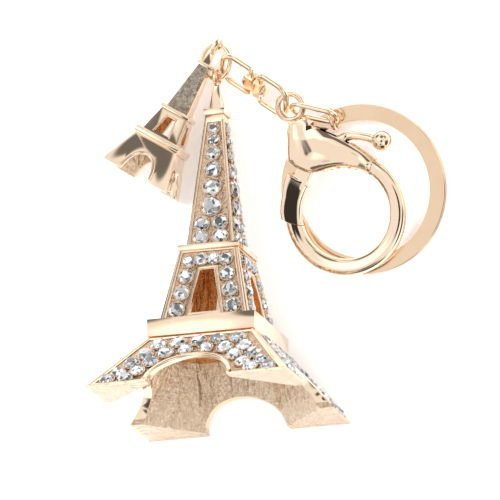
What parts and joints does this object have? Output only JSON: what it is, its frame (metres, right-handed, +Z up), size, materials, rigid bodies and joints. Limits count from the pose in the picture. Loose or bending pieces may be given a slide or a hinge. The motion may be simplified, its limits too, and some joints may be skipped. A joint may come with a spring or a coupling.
{
  "type": "keychain charm",
  "caption": "Lattice tower keychain charm with stone-set panels, a small plain tower, a wire swivel, a round claw clasp and a flat key ring.",
  "frame": {"origin": "middle of the part's footprint, on the surface it lies on", "axes": "+Z up from the surface it lies on; +Y from the big tower's base towards its tip; +X from the tower towards the clasp"},
  "size_m": [0.0646, 0.0764, 0.0386],
  "materials": {
    "rose_gold_cast": "polished rose gold plate",
    "rose_gold_clasp": "mirror polished rose gold plate",
    "pale_gold_wire": "polished champagne gold plate",
    "steel": "plain",
    "clear_stone": "faceted clear stones"
  },
  "bodies": {
    "clasp": {"clasp_body": "rose_gold_clasp", "gate_pivot_pin": "steel", "gate_spring": "steel"},
    "gate": {"clasp_gate": "rose_gold_clasp"},
    "lower_bail": {"swivel_lower_bail": "pale_gold_wire", "swivel_rivet": "rose_gold_clasp"},
    "upper_bail": {"swivel_upper_bail": "pale_gold_wire"},
    "charm_ring": {"charm_jump_ring": "pale_gold_wire"},
    "big_tower": {"tower_casting": "rose_gold_cast", "stones_spire_front": "clear_stone", "stones_spire_right": "clear_stone", "stones_spire_back": "clear_stone", "stones_spire_left": "clear_stone", "stones_window_front": "clear_stone", "stones_window_right": "clear_stone", "stones_window_back": "clear_stone", "stones_window_left": "clear_stone", "stones_arch_front": "clear_stone", "stones_arch_right": "clear_stone", "stones_arch_back": "clear_stone", "stones_arch_left": "clear_stone"},
    "small_tower": {"small_tower_charm": "rose_gold_cast"},
    "link": {"oval_link": "pale_gold_wire"},
    "small_ring": {"small_jump_ring": "pale_gold_wire"},
    "key_ring": {"key_ring": "pale_gold_wire"}
  },
  "joints": [
    {"name": "gate_hinge", "type": "hinge", "parent": "clasp", "child": "gate", "pos_m": [0.00657, 0.01491, 0.00476], "axis": [0.012, -0.03, 0.9995], "range_deg": [0, 12], "stiffness_Nm_per_rad": 0.004, "springref_deg": -8.59},
    {"name": "swivel_in_eye", "type": "hinge", "parent": "clasp", "child": "lower_bail", "pos_m": [0.00207, 0.0252, 0.00514], "axis": [0.2559, 0.6386, 0.7258], "range_deg": [-90, 15]},
    {"name": "swivel_turn", "type": "hinge", "parent": "lower_bail", "child": "upper_bail", "pos_m": [-0.0043, 0.02901, 0.00403], "axis": [0.849, -0.5075, 0.1472], "continuous": true},
    {"name": "charm_ring_on_bail", "type": "hinge", "parent": "upper_bail", "child": "charm_ring", "pos_m": [-0.01109, 0.03307, 0.00285], "axis": [0.2764, 0.664, 0.6948], "range_deg": [-45, 8]},
    {"name": "big_tower_on_ring", "type": "hinge", "parent": "charm_ring", "child": "big_tower", "pos_m": [-0.01238, 0.03034, 0.0024], "axis": [0.9962, 0.0872, 0], "range_deg": [-90, 120]},
    {"name": "small_tower_on_ring", "type": "hinge", "parent": "charm_ring", "child": "small_tower", "pos_m": [-0.01231, 0.03634, 0.00259], "axis": [0.8832, -0.4691, 0], "range_deg": [-120, 0]},
    {"name": "link_in_eye", "type": "hinge", "parent": "clasp", "child": "link", "pos_m": [0.0029, 0.02487, 0.0051], "axis": [0.012, -0.03, 0.9995], "range_deg": [0, 30]},
    {"name": "small_ring_on_link", "type": "hinge", "parent": "link", "child": "small_ring", "pos_m": [0.01196, 0.02272, 0.00489], "axis": [0.0213, -0.0401, 0.999], "range_deg": [-20, 28]},
    {"name": "key_ring_turn", "type": "hinge", "parent": "small_ring", "child": "key_ring", "pos_m": [0.01626, 0.00945, 0.00148], "axis": [0.0213, -0.0401, 0.999], "continuous": true}
  ]
}
